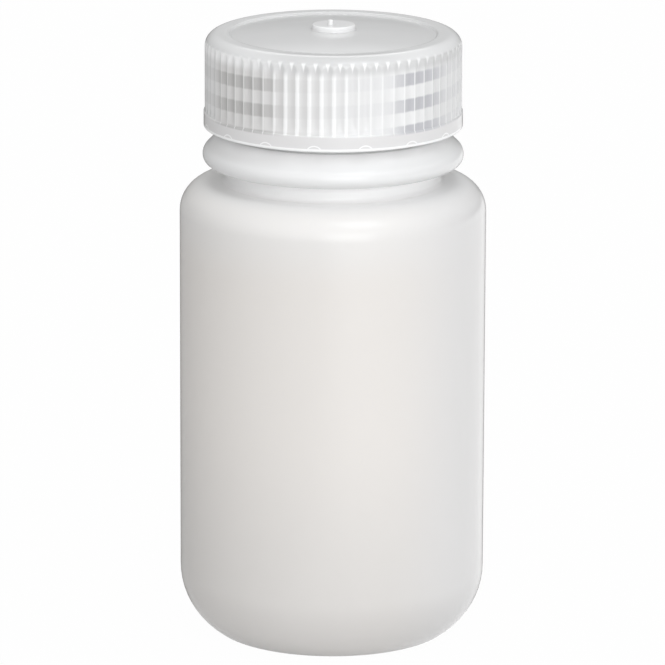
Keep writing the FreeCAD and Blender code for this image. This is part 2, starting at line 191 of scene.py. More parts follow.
WALL_FRONT_TURN = (-0.9, 0.5)
WALL_RIGHT_TURN = (math.radians(36), math.radians(56))
CORNER_LEFT_TURN = (math.radians(-60), math.radians(-12))
CORNER_RIGHT_TURN = (math.radians(25), math.radians(60))
RIM_ASIDE_TURN = (math.radians(15), math.radians(45))
GAP_FRONT_TURN = (-0.2, 0.2)

# The painted shade of the darker bands, where the gaps of the neck's thread show through the cap. A
# stretch has four
# turns: where it starts, where it is whole, where it begins to fade and where it has faded.
GAP_Z = CAP_Z + 2.2 * MM
GAP_HALF_WIDTH = (0.2, 0.29)
GAPS_LOW_Z = (CAP_Z + BAND_HEIGHT - 0.4 * MM, CAP_Z + BAND_HEIGHT)
GAPS_HIGH_Z = (CAP_Z + 11.8 * MM, CAP_Z + 12.6 * MM)
GAPS_LEFT = [math.radians(degrees) for degrees in (-70, -55, -36, -20)]
GAPS_RIGHT = [math.radians(degrees) for degrees in (23, 37, 46, 64)]
GAPS_IN_FRONT = 0.12
GAPS_BEHIND = 0.25
SPARE_LAPS = 8.0

# The painted highlights on the ribs' tops, in shares of the rib spacing, narrow and then wide. The
# painted shade of the darker bands is faint there, out to the edge of the groove beside each rib.
STRIPE_REACH = (0.06, 0.17)
STRIPE_SHARE = (0.45, 0.9)
STRIPE_SOFTNESS = 0.04
WIDE_STRIPES = [math.radians(degrees) for degrees in (-32, -22, 0, 14)]
GROOVE_EDGE = (0.03, 0.07)
GAPS_ON_RIBS = 0.1

# The painted highlights at the tops of the flutes, and the painted highlight lines of the notches.
POINT_LOW = 12.8 * MM
POINT_HIGH = 14.3 * MM
POINT_HALF_WIDTH = 0.2
POINT_SIDES = (-0.05, 0.09)
POINT_TOP_Z = (CAP_Z + POINT_HIGH - 0.35 * MM, CAP_Z + POINT_HIGH + 0.2 * MM)
POINTS_LIT = (-1.0, -0.2, 0.5, 1.1)
POINTS_ON_LEFT = 0.3
POINTS_ON_RIGHT = 0.4
POINT_SHARE = 0.8
ARCH_LINE = (0.05 * MM, 0.14 * MM)
ARCH_SHARE = 0.75
ARCH_R = (BAND_R - 0.3 * MM, BAND_R - 0.1 * MM)
ARCH_Z = (CAP_Z + 0.1 * MM, CAP_Z + 0.2 * MM)

# The grain of both plastics.
GRAIN_STRENGTH = 0.1
GRAIN_DEPTH = 0.02 * MM

# Studio light, in watts for the lamps and as brightness for the surroundings and the floor.
LAMP_DISTANCE = 1.1
LAMP_TARGET_Z = 0.05
KEY_POWER = 1.82
FILL_POWER = 3.45
BACK_POWER = 1.4
STUDIO_BASE = 0.29
STUDIO_FRONT = 0.79
STUDIO_ABOVE = 0.44
STUDIO_RIGHT = 0.1
FLOOR_HALF_SIDE = 3.0
FLOOR_GREY = 0.55
FLOOR_WHITENESS = 0.985
FLOOR_GLOW_LEFT = 0.45
FLOOR_GLOW_RIGHT = 1.4
FLOOR_GLOW_CHANGE_X = (-0.06, 0.06)
FLOOR_DARK_START_Y = (0.0, 0.015)
FLOOR_DARK_SPREAD = (0.2, 0.38)


def trace(corners, arc_step=ARC_STEP):
    """Turn corners (across, up, round, longest step to the next corner) into a line of points.

    The line is open. A round of 0 keeps the corner sharp, and a tiny one gets few chords.
    """
    line = []
    last = len(corners) - 1
    for i, (across, up, radius, step) in enumerate(corners):
        point = Vector((across, up))
        if radius and 0 < i < last:
            back = (Vector(corners[i - 1][:2]) - point).normalized()
            ahead = (Vector(corners[i + 1][:2]) - point).normalized()
            half = back.angle(ahead) / 2
            centre = point + (back + ahead).normalized() * (radius / math.sin(half))
            first = point + back * (radius / math.tan(half)) - centre
            second = point + ahead * (radius / math.tan(half)) - centre
            turn = math.pi - 2 * half
            sign = 1 if first.x * second.y - first.y * second.x > 0 else -1
            widest = max(arc_step, min(SHORT_CHORD / radius, WIDEST_ARC_STEP))
            steps = max(2, math.ceil(turn / widest))
            for k in range(steps + 1):
                angle = sign * turn * k / steps
                spoke = Vector((first.x * math.cos(angle) - first.y * math.sin(angle),
                                first.x * math.sin(angle) + first.y * math.cos(angle)))
                line.append((centre + spoke, step if k == steps else None))
        else:
            line.append((point, step))
    points = []
    for (here, step), (there, _) in zip(line, line[1:]):
        points.append(here)
        if step:
            count = math.ceil((there - here).length / step)
            points += [here.lerp(there, k / count) for k in range(1, count)]
    points.append(line[-1][0])
    return points


def turned_shell(name, outline, columns, shape=None):
    """Turn an outline from axis to axis into a closed mesh.

    shape(turn, across, up, row) gives the point's own distance from the axis and height.
    """
    mesh = bmesh.new()
    rings = []
    for row, point in enumerate(outline):
        if point.x < TINY:
            rings.append([mesh.verts.new((0, 0, point.y))])
            continue
        ring = []
        for k in range(columns):
            turn = 2 * math.pi * k / columns
            across, up = shape(turn, point.x, point.y, row) if shape else point
            ring.append(mesh.verts.new(
                (across * math.sin(turn), -across * math.cos(turn), up)))
        rings.append(ring)
    for lower, upper in zip(rings, rings[1:]):
        for k in range(columns):
            n = (k + 1) % columns
            if len(lower) == 1:
                mesh.faces.new((lower[0], upper[n], upper[k]))
            elif len(upper) == 1:
                mesh.faces.new((lower[k], lower[n], upper[0]))
            else:
                mesh.faces.new((lower[k], lower[n], upper[n], upper[k]))
    return finished(name, mesh)


def finished(name, mesh):
    """A smooth object from a bmesh, with its faces turned outwards."""
    bmesh.ops.recalc_face_normals(mesh, faces=mesh.faces)
    for face in mesh.faces:
        face.smooth = True
    data = bpy.data.meshes.new(name)
    mesh.to_mesh(data)
    mesh.free()
    piece = bpy.data.objects.new(name, data)
    bpy.context.scene.collection.objects.link(piece)
    return piece


def smooth_step(value, low, high):
    """0 below low, 1 above high, and a soft rise between them."""
    share = min(max((value - low) / (high - low), 0), 1)
    return share * share * (3 - 2 * share)


def ridge_height(turn, up):
    """How far the neck's thread stands out at a turn from the front and a height."""
    end = THREAD_END + math.pi / 2
    whole = THREAD_TURNS * 2 * math.pi
    height = 0
    for lap in range(-3, 3):
        along = turn + lap * 2 * math.pi - (end - whole)
        if not -THREAD_FADE < along < whole + THREAD_FADE:
            continue
        middle = THREAD_TOP_Z + PITCH * (along - whole) / (2 * math.pi)
        across = 1 - smooth_step(abs(up - middle), THREAD_CREST / 2, THREAD_ROOT / 2)
        ends = smooth_step(min(along, whole - along), -THREAD_FADE, 0)
        height = max(height, THREAD_DEPTH * across * ends)
    return height


def bottle_outline():
    """The bottle's section, from the middle of the base up the outside and down the inside."""
    reach = HEEL_ROUND * math.tan(math.radians(45) - HEEL_SLOPE / 2) + HEEL_FLAT
    ring_r = BODY_R - reach * math.cos(HEEL_SLOPE)
    heel_z = reach * math.sin(HEEL_SLOPE)
    ring_inner_r = ring_r - RING_WIDTH
    panel_r = ring_inner_r - PUSH_UP_RUN
    wall_r = BODY_R - WALL
    inner_heel_z = heel_z + WALL * math.tan(math.radians(45) - HEEL_SLOPE / 2)
    inner_ring_r = ring_r + (FLOOR - WALL / math.cos(HEEL_SLOPE)) / math.tan(HEEL_SLOPE)
    shoulder_edge_z = SHOULDER_Z - SHOULDER_FALL
    thread_low_z = THREAD_TOP_Z - (THREAD_TURNS + THREAD_RUN_OUT) * PITCH - THREAD_ROOT / 2
    bead_low_z = BEAD_Z - BEAD_HALF
    # Above its edge the bead slopes back to the neck at 45 degrees.
    bead_top_z = BEAD_EDGE_Z + BEAD_R - NECK_R
    return trace([
        (0, PUSH_UP, 0, 3 * MM),
        (panel_r, PUSH_UP, PUSH_UP_ROUND, 1 * MM),
        (ring_inner_r, 0, RING_ROUND, 0.5 * MM),
        (ring_r, 0, TOE_ROUND, 0.5 * MM),
        (BODY_R, heel_z, HEEL_ROUND, SIDE_STEP),
        (BODY_R, shoulder_edge_z, SHOULDER_ROUND, 0.6 * MM),
        (NECK_R, SHOULDER_Z, NECK_FOOT_ROUND, 0.4 * MM),
        (NECK_R, bead_low_z, BEAD_FOOT_ROUND, 0.4 * MM),
        (BEAD_R, bead_low_z, BEAD_LOW_ROUND, 0.4 * MM),
        (BEAD_R, BEAD_EDGE_Z, BEAD_TOP_ROUND, 0.4 * MM),
        (NECK_R, bead_top_z, BEAD_BACK_ROUND, 0.4 * MM),
        (NECK_R, thread_low_z, 0, FINE_STEP),
        (NECK_R, LIP_Z - LIP_ROUND * 1.5, 0, 0.2 * MM),
        (NECK_R, LIP_Z, LIP_ROUND, 0.3 * MM),
        (BORE_R, LIP_Z, LIP_ROUND, 2 * MM),
        (BORE_R, SHOULDER_Z - WALL, THROAT_ROUND, 0.8 * MM),
        (wall_r, shoulder_edge_z - WALL, SHOULDER_ROUND - WALL, SIDE_STEP),
        (wall_r, inner_heel_z, INNER_HEEL_ROUND, 0.5 * MM),
        (inner_ring_r, FLOOR, 0, 0.5 * MM),
        (ring_inner_r, FLOOR, RING_ROUND, 1 * MM),
        (panel_r, PUSH_UP + FLOOR, PUSH_UP_ROUND, 3 * MM),
        (0, PUSH_UP + FLOOR, 0, 0),
    ])


def make_bottle():
    """The bottle, with the thread raised on the outside of its neck."""
    lip_start = LIP_Z - LIP_ROUND * 1.2

    def threaded(turn, across, up, row):
        outside = abs(across - NECK_R) < TINY and up < lip_start
        return across + (ridge_height(turn, up) if outside else 0), up

    return turned_shell("bottle_shell", bottle_outline(), BOTTLE_COLUMNS, threaded)


def cap_outline():
    """The cap's section, from the top of the button down the outside and up the inside.

    It comes with the number of its first row at the notches, in the open end.
    """
    rim_r = RIB_R - CORNER_ROUND - RIM_WIDTH
    edge_r = rim_r - RIM_SLOPE
    # The panel is a very shallow dome between the button and its edge.
    rise = CROWN_HEIGHT - EDGE_HEIGHT
    bulge_r = (edge_r ** 2 + rise ** 2) / (2 * rise)

    def dome_height(across):
        return CROWN_HEIGHT - bulge_r + math.sqrt(bulge_r ** 2 - across ** 2)

    start_r = BUTTON_R + 0.8 * MM
    end_r = edge_r - 0.3 * MM
    outside = trace([
        (0, CROWN_HEIGHT + BUTTON_HEIGHT, 0, 1 * MM),
        (BUTTON_R, CROWN_HEIGHT + BUTTON_HEIGHT, BUTTON_ROUND, 0.3 * MM),
        (BUTTON_R, dome_height(BUTTON_R), BUTTON_ROUND, 0.15 * MM),
        (start_r, dome_height(start_r), 0, 0),
    ])[:-1]
    for k in range(PANEL_ROWS + 1):
        across = start_r + (end_r - start_r) * k / PANEL_ROWS
        outside.append(Vector((across, dome_height(across))))
    outside += trace([
        (edge_r - 0.2 * MM, EDGE_HEIGHT + 0.02 * MM, 0, 0.1 * MM),
        (edge_r, EDGE_HEIGHT, EDGE_ROUND, 0.2 * MM),
        (rim_r, RIM_HEIGHT, RIM_ROUND, 0.5 * MM),
        (RIB_R, RIM_HEIGHT, CORNER_ROUND, 1.2 * MM),
        (RIB_R, LEDGE_HEIGHT, LEDGE_ROUND, 0.1 * MM),
        (BAND_R, BAND_HEIGHT - 0.02 * MM, LEDGE_ROUND, 0.4 * MM),
        (BAND_R, 0, OPEN_END_ROUND, 0.2 * MM),
        (NOTCH_REACH + 0.02 * MM, 0, 0, 0),
    ], FINE_ARC_STEP)
    notch_row = len(outside)
    inside = trace([
        (NOTCH_REACH, 0, 0, 0.3 * MM),
        (CAP_BORE_R, 0, 0, 0.24 * MM),
        (CAP_BORE_R, NOTCH_HEIGHT * 1.25, 0, 2 * MM),
        (CAP_BORE_R, CAP_DEPTH, INNER_CORNER_ROUND, 1 * MM),
        (PLUG_R, CAP_DEPTH, PLUG_FOOT_ROUND, 0.8 * MM),
        (PLUG_R, PLUG_HEIGHT, PLUG_ROUND, 0.2 * MM),
        (PLUG_INNER_R, PLUG_HEIGHT, PLUG_ROUND, 0.8 * MM),
        (PLUG_INNER_R, CAP_DEPTH, PLUG_FOOT_ROUND, 3 * MM),
        (0, CAP_DEPTH, 0, 0),
    ], COARSE_ARC_STEP)
    return outside + inside, notch_row


def arc_radius(width, height):
    """The radius of an arc of a width and a height."""
    return width ** 2 / (8 * height) + height / 2


def fluted(turn, across, up):
    """How far the ribbed wall reaches at a turn and a height, with its flutes cut in."""
    if up < FLUTE_LOW or up > FLUTE_HIGH or across < RIB_R - CORNER_ROUND:
        return across
    flute_round = arc_radius(RIB_R * RIB_SPACING - RIB_LAND, RIB_DEPTH)
    flute_r = RIB_R - RIB_DEPTH + flute_round
    # The flute's circle is half a rib away from the nearest rib top.
    aside = (turn - RIB_TURN) % RIB_SPACING - RIB_SPACING / 2
    reach = flute_round ** 2 - (flute_r * math.sin(aside)) ** 2
    if reach > 0:
        across = min(across, flute_r * math.cos(aside) - math.sqrt(reach))
    return across


def notched(turn, across, up):
    """How high the open end lies at a turn, with its notches cut in."""
    notch_round = arc_radius(NOTCH_WIDTH, NOTCH_HEIGHT)
    aside = (turn - NOTCH_TURN + NOTCH_SPACING / 2) % NOTCH_SPACING - NOTCH_SPACING / 2
    width = across * math.sin(aside)
    if abs(width) < NOTCH_WIDTH / 2:
        up = max(up, NOTCH_HEIGHT - notch_round + math.sqrt(notch_round ** 2 - width ** 2))
    return up


def make_cap():
    """The cap with its flutes, notches and button."""
    outline, notch_row = cap_outline()

    def cut(turn, across, up, row):
        if row < notch_row:
            return fluted(turn, across, up), up
        return across, notched(turn, across, up)

    cap = turned_shell("cap_shell", outline, RIBS * COLUMNS_PER_RIB, cut)
    cap.data.transform(Matrix.Translation((0, 0, CAP_Z)))
    return cap


def make_cap_thread():
    """The thread inside the cap, a ridge that stands in from the bore between the neck's turns."""
    mesh = bmesh.new()
    steps = int(CAP_THREAD_TURNS * CAP_THREAD_STEPS_PER_TURN)
    start = THREAD_END + math.pi / 2 + math.pi
    rings = []
    for k in range(steps + 1):
        along = k / CAP_THREAD_STEPS_PER_TURN * 2 * math.pi
        turn = start + along
        depth = CAP_THREAD_DEPTH * smooth_step(min(k, steps - k), 0, CAP_THREAD_FADE_STEPS)
        middle = CAP_Z + CAP_THREAD_LOW + PITCH * along / (2 * math.pi)
        ring = []
        for inwards, up in ((-CAP_THREAD_SUNK, CAP_THREAD_HALF_ROOT),
                            (depth, CAP_THREAD_HALF_CREST),
                            (depth, -CAP_THREAD_HALF_CREST),
                            (-CAP_THREAD_SUNK, -CAP_THREAD_HALF_ROOT)):
            across = CAP_BORE_R - inwards
            ring.append(mesh.verts.new(
                (across * math.sin(turn), -across * math.cos(turn), middle + up)))
        rings.append(ring)
    sides = len(rings[0])
    for before, after in zip(rings, rings[1:]):
        for k in range(sides):
            n = (k + 1) % sides
            mesh.faces.new((before[k], before[n], after[n], after[k]))
    mesh.faces.new(rings[0])
    mesh.faces.new(list(reversed(rings[-1])))
    return finished("cap_thread", mesh)


def make_nub():
    """The stub that the moulding gate leaves on the button, upright and a little off the middle."""
    top = NUB_TOP_Z - CAP_Z
    foot = CROWN_HEIGHT + BUTTON_HEIGHT - NUB_SUNK
    outline = trace([
        (0, foot, 0, 0.2 * MM),
        (NUB_R * (1 + NUB_TAPER), foot, 0, 0.15 * MM),
        (NUB_R * (1 - NUB_TAPER), top, 0.15 * MM, 0.1 * MM),
        (0, top - 0.05 * MM, 0, 0),
    ], NUB_ARC_STEP)
    nub = turned_shell("cap_gate_stub", outline, NUB_COLUMNS)
    nub.data.transform(Matrix.Translation((NUB_PLACE[0], NUB_PLACE[1], CAP_Z)))
    return nub


class Nodes:
    """A short way to build the node tree of a material or of the surroundings."""

    def __init__(self, owner):
        owner.use_nodes = True
        self.owner = owner
        self.tree = owner.node_tree
        self.shader = self.tree.nodes.get("Principled BSDF")

    def add(self, kind, **settings):
        """A new node of a kind, with its settings."""
        node = self.tree.nodes.new(kind)
        for key, value in settings.items():
            setattr(node, key, value)
        return node

    def feed(self, socket, value):
        """Set a socket to a number or colour, or link it to another node's output."""
        if isinstance(value, bpy.types.NodeSocket):
            self.tree.links.new(value, socket)
        else:
            socket.default_value = value

    def math(self, operation, *values):
        """The result of an operation on numbers or other nodes' outputs."""
        node = self.add("ShaderNodeMath", operation=operation)
        for socket, value in zip(node.inputs, values):
            self.feed(socket, value)
        return node.outputs[0]

    def product(self, *values):
        """All the values multiplied."""
        result = values[0]
        for value in values[1:]:
            result = self.math("MULTIPLY", result, value)
        return result

    def ramp(self, value, low, high, to_low=0.0, to_high=1.0):
        """A soft step of a value, from to_low at low to to_high at high."""
        node = self.add("ShaderNodeMapRange", interpolation_type="SMOOTHSTEP")
        for key, number in (("Value", value), ("From Min", low), ("From Max", high),
                            ("To Min", to_low), ("To Max", to_high)):
            self.feed(node.inputs[key], number)
        return node.outputs[0]

    def stretch(self, turn, limits, before, after):
        """1 over a stretch of turns, with other values before and after it."""
        start, whole, fading, faded = limits
        return self.math("MULTIPLY", self.ramp(turn, start, whole, before, 1.0),
                         self.ramp(turn, fading, faded, 1.0, after))

    def mix(self, share, first, second):
        """A colour between two colours."""
        node = self.add("ShaderNodeMix", data_type="RGBA")
        self.feed(node.inputs["Factor"], share)
        # The colour inputs and output come after the number and vector ones.
        colours = [socket for socket in node.inputs if socket.type == "RGBA"]
        for socket, colour in zip(colours, (first, second)):
            self.feed(socket, colour)
        return [socket for socket in node.outputs if socket.type == "RGBA"][0]

    def place(self):
        """The point's place in the object's own frame, and its three parts."""
        coordinates = self.add("ShaderNodeTexCoord").outputs["Object"]
        parts = self.add("ShaderNodeSeparateXYZ")
        self.feed(parts.inputs[0], coordinates)
        return coordinates, parts.outputs[0], parts.outputs[1], parts.outputs[2]

    def turn(self, x, y):
        """The turn about the upright axis, in radians to the right of the front."""
        return self.math("ARCTAN2", x, self.math("MULTIPLY", y, -1.0))

    def distance(self, x, y):
        """The distance from the upright axis."""
        squares = self.math("ADD", self.math("MULTIPLY", x, x), self.math("MULTIPLY", y, y))
        return self.math("SQRT", squares)

    def noise(self, coordinates, scale):
        """A soft cloudy pattern, finer with a larger scale."""
        node = self.add("ShaderNodeTexNoise")
        self.feed(node.inputs["Vector"], coordinates)
        self.feed(node.inputs["Scale"], scale)
        return node.outputs["Fac"]

    def mottle(self, coordinates, scale, low, high):
        """A number that wanders between low and high over the surface."""
        return self.ramp(self.noise(coordinates, scale), 0.3, 0.7, low, high)

    def grain(self, coordinates, scale):
        """Give the shader's surface a fine grain."""
        node = self.add("ShaderNodeBump")
        self.feed(node.inputs["Height"], self.noise(coordinates, scale))
        self.feed(node.inputs["Strength"], GRAIN_STRENGTH)
        self.feed(node.inputs["Distance"], GRAIN_DEPTH)
        self.feed(self.shader.inputs["Normal"], node.outputs[0])

    def set(self, **values):
        """Set or link sockets of the shader, with _ for each space in their names."""
        for key, value in values.items():
            self.feed(self.shader.inputs[key.replace("_", " ")], value)


def rgb(red, green, blue):
    """A colour as a shader takes it, from its 0 to 255 screen values."""
    def linear(value):
        value /= 255
        return value / 12.92 if value <= 0.04045 else ((value + 0.055) / 1.055) ** 2.4
    return (linear(red), linear(green), linear(blue), 1)


def grey(level):
    """A neutral colour of one 0 to 255 screen value."""
    return rgb(level, level, level)


def body_tone_and_painted_light(nodes, turn, z):
    """The body's warm tone, with painted shade darkest a little above the base, lighter again at
    the very bottom, painted light towards the shoulder and a cooler painted cast on the right.
    """
    tone = nodes.mix(nodes.ramp(z, *BASE_TONE_Z), rgb(225, 222, 219), rgb(217, 214, 211))
    tone = nodes.mix(nodes.ramp(z, *LOWER_TONE_Z), tone, rgb(227, 223, 219))
    tone = nodes.mix(nodes.ramp(z, *UPPER_TONE_Z), tone, rgb(229, 227, 225))
    right = nodes.ramp(turn, *RIGHT_TONE_TURN, 0.0, RIGHT_TONE_SHARE)
    return nodes.mix(right, tone, rgb(224, 223, 223))


def neck_tone_and_painted_light(nodes, distance, z):
    """The neck's tone with painted light: white where light comes through under the bead and the
    cap, a little greyer at its foot, and greyer on the bead with painted shade.
    """
    tone = nodes.mix(nodes.ramp(z, *NECK_TONE_Z), grey(244), grey(255))
    return nodes.mix(nodes.ramp(distance, *BEAD_TONE_R), tone, grey(229))


def milky_polyethylene():
    """The bottle's plastic: satin and milky, with painted light on the neck and painted light and
    shade on the body and the bead.
    """
    nodes = Nodes(bpy.data.materials.new("milky_polyethylene"))
    place, x, y, z = nodes.place()
    # The body's tone carries painted shade and light by height and a painted cast by turn.
    body = body_tone_and_painted_light(nodes, nodes.turn(x, y), z)
    neck = neck_tone_and_painted_light(nodes, nodes.distance(x, y), z)
    # Above the shoulder the neck's tone takes over, with its painted light and the bead's painted
    # shade.
    tone = nodes.mix(nodes.ramp(z, *NECK_TONE_START_Z), body, neck)
    roughness = nodes.mottle(place, scale=60.0, low=0.2, high=0.24)
    nodes.set(Base_Color=tone, Roughness=roughness, IOR=1.5)
    nodes.set(Subsurface_Weight=0.15, Subsurface_Scale=0.003, Subsurface_Radius=(1, 1, 1))
    nodes.grain(place, scale=2200.0)
    return nodes.owner


def thread_gap_shade(nodes, turn, z):
    """How much painted shade the gaps of the neck's thread put on the cap, by the turn and the
    height.
    """
    laps = nodes.math("DIVIDE", turn, 2 * math.pi)
    rise = nodes.math("DIVIDE", nodes.math("SUBTRACT", z, GAP_Z), PITCH)
    # Whole laps change nothing and keep the number above 0.
    helix = nodes.math("ADD", nodes.math("SUBTRACT", rise, laps), SPARE_LAPS)
    gap = nodes.ramp(nodes.math("PINGPONG", helix, 0.5), *GAP_HALF_WIDTH, 1.0, 0.0)
    inside = nodes.math("MULTIPLY", nodes.ramp(z, *GAPS_LOW_Z),
                        nodes.ramp(z, *GAPS_HIGH_Z, 1.0, 0.0))
    # The painted shade shows on the left and on the right, and light washes it out between and
    # behind.
    left = nodes.stretch(turn, GAPS_LEFT, GAPS_BEHIND, GAPS_IN_FRONT)
    right = nodes.stretch(turn, GAPS_RIGHT, GAPS_IN_FRONT, GAPS_BEHIND)
    return nodes.product(gap, inside, nodes.math("MAXIMUM", left, right))


def notch_highlights(nodes, turn, distance, z):
    """Thin painted highlight lines where the arches of the notches show through the cap's band."""
    arch_round = arc_radius(NOTCH_WIDTH, NOTCH_HEIGHT)
    shifted = nodes.math("ADD", nodes.math("SUBTRACT", turn, NOTCH_TURN), 2 * math.pi)
    width = nodes.math("MULTIPLY", nodes.math("PINGPONG", shifted, NOTCH_SPACING / 2), BAND_R)
    height = nodes.math("SUBTRACT", z, CAP_Z + NOTCH_HEIGHT - arch_round)
    from_arch = nodes.math("SUBTRACT", nodes.distance(width, height), arch_round)
    line = nodes.ramp(nodes.math("ABSOLUTE", from_arch), *ARCH_LINE, ARCH_SHARE, 0.0)
    return nodes.product(line, nodes.ramp(distance, *ARCH_R), nodes.ramp(z, *ARCH_Z))


def flute_end_highlights(nodes, turn, rib, z):
    """Painted highlights, pointed, at the tops of the flutes, where each runs out in the rounded
    corner.
    """
    above = nodes.math("SUBTRACT", z, CAP_Z + POINT_LOW)
    rise = nodes.math("DIVIDE", above, POINT_HIGH - POINT_LOW)
    half_width = nodes.math("MULTIPLY", rise, POINT_HALF_WIDTH)
    from_middle = nodes.math("SUBTRACT", 0.5, rib)
    point = nodes.ramp(nodes.math("SUBTRACT", half_width, from_middle), *POINT_SIDES)
    top = nodes.ramp(z, *POINT_TOP_Z, 1.0, 0.0)
    # They are painted brightest towards the front, where they catch the light most.
    lit = nodes.stretch(turn, POINTS_LIT, POINTS_ON_LEFT, POINTS_ON_RIGHT)
    return nodes.product(point, top, lit, POINT_SHARE)


def rib_highlights(nodes, turn, rib):
    """Painted highlights on the tops of the ribs, which gather light."""
    # In front, left of the middle, the painted highlights are wider because the light comes
    # straight through.
    wide = nodes.stretch(turn, WIDE_STRIPES, 0.0, 0.0)
    reach = nodes.ramp(wide, 0.0, 1.0, *STRIPE_REACH)
    past = nodes.math("SUBTRACT", rib, reach)
    stripe = nodes.ramp(past, -STRIPE_SOFTNESS, STRIPE_SOFTNESS, 1.0, 0.0)
    return nodes.product(stripe, nodes.ramp(wide, 0.0, 1.0, *STRIPE_SHARE))


def wall_tone_and_painted_light(nodes, turn, rib):
    """The ribbed wall's tone with painted light and shade by the turn, lightest right of the front,
    with the painted highlights of the ribs.
    """
    tone = nodes.mix(nodes.ramp(turn, *WALL_FRONT_TURN), rgb(215, 214, 213), grey(233))
    tone = nodes.mix(nodes.ramp(turn, *WALL_LEFT_TURN, 1.0, 0.0), tone, grey(224))
    tone = nodes.mix(nodes.ramp(turn, *WALL_RIGHT_TURN), tone, grey(221))
    return nodes.mix(rib_highlights(nodes, turn, rib), tone, grey(247))


def corner_tone_and_painted_light(nodes, turn, z):
    """The rounded corner's tone with painted light and shade by the turn, lightest on the left,
    with the low rim above it, painted darker in front.
    """
    tone = nodes.mix(nodes.ramp(turn, *CORNER_LEFT_TURN), grey(241), grey(213))
    tone = nodes.mix(nodes.ramp(turn, *CORNER_RIGHT_TURN), tone, grey(205))
    aside = nodes.ramp(nodes.math("ABSOLUTE", turn), *RIM_ASIDE_TURN)
    rim = nodes.mix(aside, grey(209), grey(221))
    return nodes.mix(nodes.ramp(z, *RIM_Z), tone, rim)


def panel_tone_and_painted_light(nodes, distance, y, z):
    """The clear top panel's tone with painted light, lighter at its front edge and on the button.
    """
    tone = nodes.mix(nodes.ramp(y, *PANEL_FRONT_Y), grey(227), grey(216))
    button = nodes.product(nodes.ramp(distance, *BUTTON_EDGE_R, 1.0, 0.0),
                           nodes.ramp(z, *BUTTON_FOOT_Z))
    return nodes.mix(button, tone, grey(232))


def natural_polypropylene():
    """The cap's plastic: clearer, with painted shade for the darker bands where the thread behind
    it shows, and painted light and highlights on its wall, corner, panel, ribs, flute tops and
    edges.
    """
    nodes = Nodes(bpy.data.materials.new("natural_polypropylene"))
    place, x, y, z = nodes.place()
    turn = nodes.turn(x, y)
    distance = nodes.distance(x, y)
    outside = nodes.ramp(distance, *OUTSIDE_R)
    # From 0 in the middle of a rib to a half in the middle of a flute.
    ribs = nodes.math("MULTIPLY", nodes.math("SUBTRACT", turn, RIB_TURN), RIBS / (2 * math.pi))
    rib = nodes.math("PINGPONG", nodes.math("ADD", ribs, RIBS), 0.5)

    corner = nodes.math("MULTIPLY", nodes.ramp(z, *CORNER_Z), nodes.ramp(distance, *CORNER_R))
    # Painted light and shade by the turn on the wall and the corner.
    tone = nodes.mix(corner, wall_tone_and_painted_light(nodes, turn, rib), corner_tone_and_painted_light(nodes, turn, z))
    band = nodes.math("MULTIPLY", outside, nodes.ramp(z, *BAND_TOP_Z, 1.0, 0.0))
    tone = nodes.mix(band, tone, rgb(224, 223, 223))
    panel = nodes.product(nodes.ramp(distance, *PANEL_R, 1.0, 0.0), nodes.ramp(z, *PANEL_Z))
    # Painted light on the panel's front and on the button.
    tone = nodes.mix(panel, tone, panel_tone_and_painted_light(nodes, distance, y, z))
    # Painted highlights at the flute tops.
    points = nodes.math("MULTIPLY", flute_end_highlights(nodes, turn, rib, z), outside)
    tone = nodes.mix(points, tone, grey(255))

    # The ribs stay bright across the painted shade of the gaps.
    groove = nodes.ramp(rib, *GROOVE_EDGE, GAPS_ON_RIBS, 1.0)
    # Painted shade of the thread's gaps, a little cooler right of the front.
    gaps = nodes.product(thread_gap_shade(nodes, turn, z), groove, outside)
    gap_shade_tone = nodes.mix(nodes.ramp(turn, *GAP_FRONT_TURN), rgb(191, 190, 189), rgb(193, 193, 197))
    tone = nodes.mix(gaps, tone, gap_shade_tone)
    # The open end is edged with a painted highlight, and so are the arches of the notches.
    edge = nodes.ramp(z, *OPEN_EDGE_Z, 1.0, 0.0)
    bright = nodes.math("MAXIMUM", edge, notch_highlights(nodes, turn, distance, z))
    tone = nodes.mix(bright, tone, grey(255))

    roughness = nodes.mottle(place, scale=90.0, low=0.16, high=0.22)
    nodes.set(Base_Color=tone, Roughness=roughness, IOR=1.49)
    nodes.set(Subsurface_Weight=0.45, Subsurface_Scale=0.0015, Subsurface_Radius=(1, 1, 1))
    nodes.grain(place, scale=1500.0)
    return nodes.owner


